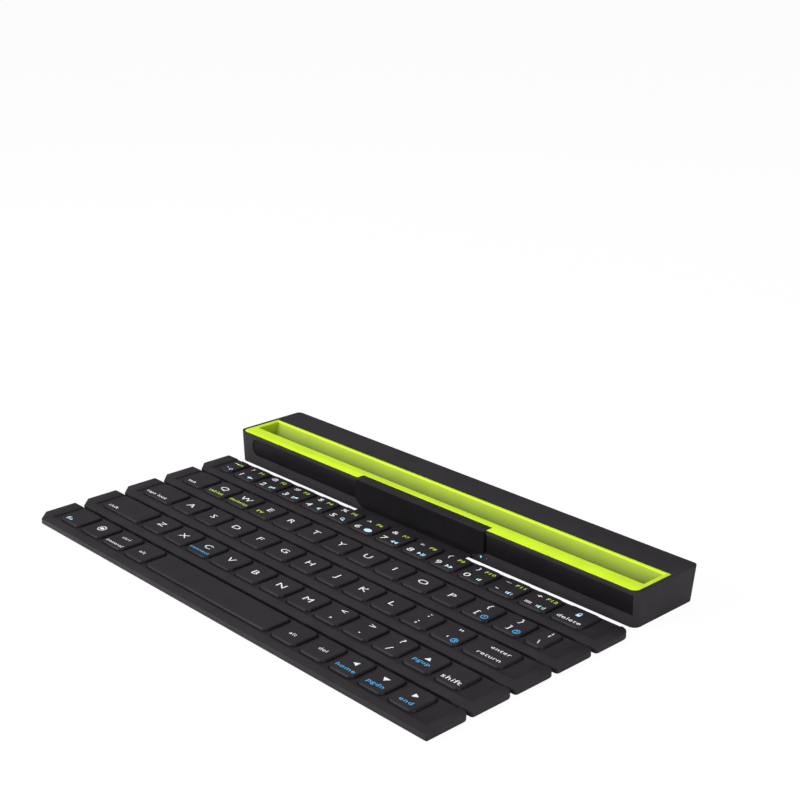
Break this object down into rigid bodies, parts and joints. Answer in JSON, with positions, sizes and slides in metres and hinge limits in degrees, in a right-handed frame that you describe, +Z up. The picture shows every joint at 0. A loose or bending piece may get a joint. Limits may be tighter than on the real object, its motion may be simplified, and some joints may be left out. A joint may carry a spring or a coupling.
{
  "type": "roll-up keyboard",
  "caption": "Wireless keyboard of rigid key bars on rubber hinges, with a tray bar at the back that stands tablets and phones.",
  "frame": {"origin": "middle of the footprint, on the table", "axes": "+X along the bars to the user's right, +Y from the space bar to the tray bar, +Z up"},
  "size_m": [0.2712, 0.1622, 0.0171],
  "materials": {
    "case_black": "satin, fine moulded grain",
    "key_black": "satin, fine moulded grain",
    "rubber_black": "matte",
    "liner_lime": "satin",
    "panel_black": "semi-gloss",
    "bridge_black": "satin",
    "light_blue": "clear, lit",
    "board_green": "solder mask",
    "cell_foil": "foil",
    "socket_steel": "stamped",
    "screw_steel": "machined",
    "magnet_nickel": "nickel plated",
    "sheet_grey": "printed film",
    "ribbon_amber": "polyimide film"
  },
  "bodies": {
    "tray": {"tray_housing": "case_black", "bottom_cover": "case_black", "tray_liner": "liner_lime", "front_panel": "panel_black", "bridge_cover": "bridge_black", "status_lights": "light_blue", "main_board": "board_green", "battery_cell": "cell_foil", "charge_port": "socket_steel", "cover_screws": "screw_steel", "foot_strips": "rubber_black", "closing_magnets_tray": "magnet_nickel"},
    "number_row": {"number_row_frame": "case_black", "number_row_base": "rubber_black", "number_row_sheet": "sheet_grey", "hinge_strap": "rubber_black", "ribbon_cable": "ribbon_amber"},
    "upper_row": {"upper_row_frame": "case_black", "upper_row_base": "rubber_black", "upper_row_sheet": "sheet_grey", "web_number_upper": "rubber_black"},
    "home_row": {"home_row_frame": "case_black", "home_row_base": "rubber_black", "home_row_sheet": "sheet_grey", "web_upper_home": "rubber_black"},
    "lower_row": {"lower_row_frame": "case_black", "lower_row_base": "rubber_black", "lower_row_sheet": "sheet_grey", "web_home_lower": "rubber_black"},
    "space_row": {"space_row_frame": "case_black", "space_row_base": "rubber_black", "space_row_sheet": "sheet_grey", "web_lower_space": "rubber_black", "closing_magnets_bar": "magnet_nickel"},
    "key_grave": {"key_grave": "key_black"},
    "number_keys": {"number_keys": "key_black"},
    "key_delete": {"key_delete": "key_black"},
    "key_tab": {"key_tab": "key_black"},
    "upper_keys": {"upper_keys": "key_black"},
    "key_backslash": {"key_backslash": "key_black"},
    "key_caps": {"key_caps": "key_black"},
    "home_keys": {"home_keys": "key_black"},
    "key_enter": {"key_enter": "key_black"},
    "key_shift_left": {"key_shift_left": "key_black"},
    "lower_keys": {"lower_keys": "key_black"},
    "key_up": {"key_up": "key_black"},
    "key_shift_right": {"key_shift_right": "key_black"},
    "key_fn": {"key_fn": "key_black"},
    "key_system": {"key_system": "key_black"},
    "key_control": {"key_control": "key_black"},
    "key_alt_left": {"key_alt_left": "key_black"},
    "key_space": {"key_space": "key_black"},
    "key_alt_right": {"key_alt_right": "key_black"},
    "key_erase": {"key_erase": "key_black"},
    "key_left": {"key_left": "key_black"},
    "key_down": {"key_down": "key_black"},
    "key_right": {"key_right": "key_black"}
  },
  "joints": [
    {"name": "tray_fold", "type": "hinge", "parent": "tray", "child": "number_row", "pos_m": [0, 0.03755, 0], "axis": [1, 0, 0], "range_deg": [0, 178], "deforming": ["hinge_strap", "ribbon_cable"]},
    {"name": "number_upper_seam", "type": "hinge", "parent": "number_row", "child": "upper_row", "pos_m": [0, 0.01195, 0.0003], "axis": [1, 0, 0], "range_deg": [-8, 0], "deforming": ["web_number_upper"]},
    {"name": "upper_home_seam", "type": "hinge", "parent": "upper_row", "child": "home_row", "pos_m": [0, -0.01145, 0.0003], "axis": [1, 0, 0], "range_deg": [-8, 90], "deforming": ["web_upper_home"]},
    {"name": "home_lower_seam", "type": "hinge", "parent": "home_row", "child": "lower_row", "pos_m": [0, -0.03485, 0.0003], "axis": [1, 0, 0], "range_deg": [-8, 90], "deforming": ["web_home_lower"]},
    {"name": "lower_space_seam", "type": "hinge", "parent": "lower_row", "child": "space_row", "pos_m": [0, -0.05825, 0.0003], "axis": [1, 0, 0], "range_deg": [-8, 12], "deforming": ["web_lower_space"]},
    {"name": "key_grave_press", "type": "slide", "parent": "number_row", "child": "key_grave", "axis": [0, 0, 1], "range_m": [-0.00095, 0], "stiffness_N_per_m": 400},
    {"name": "number_keys_press", "type": "slide", "parent": "number_row", "child": "number_keys", "axis": [0, 0, 1], "range_m": [-0.00095, 0], "stiffness_N_per_m": 4800},
    {"name": "key_delete_press", "type": "slide", "parent": "number_row", "child": "key_delete", "axis": [0, 0, 1], "range_m": [-0.00095, 0], "stiffness_N_per_m": 400},
    {"name": "key_tab_press", "type": "slide", "parent": "upper_row", "child": "key_tab", "axis": [0, 0, 1], "range_m": [-0.00095, 0], "stiffness_N_per_m": 400},
    {"name": "upper_keys_press", "type": "slide", "parent": "upper_row", "child": "upper_keys", "axis": [0, 0, 1], "range_m": [-0.00095, 0], "stiffness_N_per_m": 4800},
    {"name": "key_backslash_press", "type": "slide", "parent": "upper_row", "child": "key_backslash", "axis": [0, 0, 1], "range_m": [-0.00095, 0], "stiffness_N_per_m": 400},
    {"name": "key_caps_press", "type": "slide", "parent": "home_row", "child": "key_caps", "axis": [0, 0, 1], "range_m": [-0.00095, 0], "stiffness_N_per_m": 400},
    {"name": "home_keys_press", "type": "slide", "parent": "home_row", "child": "home_keys", "axis": [0, 0, 1], "range_m": [-0.00095, 0], "stiffness_N_per_m": 4400},
    {"name": "key_enter_press", "type": "slide", "parent": "home_row", "child": "key_enter", "axis": [0, 0, 1], "range_m": [-0.00095, 0], "stiffness_N_per_m": 400},
    {"name": "key_shift_left_press", "type": "slide", "parent": "lower_row", "child": "key_shift_left", "axis": [0, 0, 1], "range_m": [-0.00095, 0], "stiffness_N_per_m": 400},
    {"name": "lower_keys_press", "type": "slide", "parent": "lower_row", "child": "lower_keys", "axis": [0, 0, 1], "range_m": [-0.00095, 0], "stiffness_N_per_m": 4000},
    {"name": "key_up_press", "type": "slide", "parent": "lower_row", "child": "key_up", "axis": [0, 0, 1], "range_m": [-0.00095, 0], "stiffness_N_per_m": 400},
    {"name": "key_shift_right_press", "type": "slide", "parent": "lower_row", "child": "key_shift_right", "axis": [0, 0, 1], "range_m": [-0.00095, 0], "stiffness_N_per_m": 400},
    {"name": "key_fn_press", "type": "slide", "parent": "space_row", "child": "key_fn", "axis": [0, 0, 1], "range_m": [-0.00095, 0], "stiffness_N_per_m": 400},
    {"name": "key_system_press", "type": "slide", "parent": "space_row", "child": "key_system", "axis": [0, 0, 1], "range_m": [-0.00095, 0], "stiffness_N_per_m": 400},
    {"name": "key_control_press", "type": "slide", "parent": "space_row", "child": "key_control", "axis": [0, 0, 1], "range_m": [-0.00095, 0], "stiffness_N_per_m": 400},
    {"name": "key_alt_left_press", "type": "slide", "parent": "space_row", "child": "key_alt_left", "axis": [0, 0, 1], "range_m": [-0.00095, 0], "stiffness_N_per_m": 400},
    {"name": "key_space_press", "type": "slide", "parent": "space_row", "child": "key_space", "axis": [0, 0, 1], "range_m": [-0.00095, 0], "stiffness_N_per_m": 400},
    {"name": "key_alt_right_press", "type": "slide", "parent": "space_row", "child": "key_alt_right", "axis": [0, 0, 1], "range_m": [-0.00095, 0], "stiffness_N_per_m": 400},
    {"name": "key_erase_press", "type": "slide", "parent": "space_row", "child": "key_erase", "axis": [0, 0, 1], "range_m": [-0.00095, 0], "stiffness_N_per_m": 400},
    {"name": "key_left_press", "type": "slide", "parent": "space_row", "child": "key_left", "axis": [0, 0, 1], "range_m": [-0.00095, 0], "stiffness_N_per_m": 400},
    {"name": "key_down_press", "type": "slide", "parent": "space_row", "child": "key_down", "axis": [0, 0, 1], "range_m": [-0.00095, 0], "stiffness_N_per_m": 400},
    {"name": "key_right_press", "type": "slide", "parent": "space_row", "child": "key_right", "axis": [0, 0, 1], "range_m": [-0.00095, 0], "stiffness_N_per_m": 400}
  ]
}
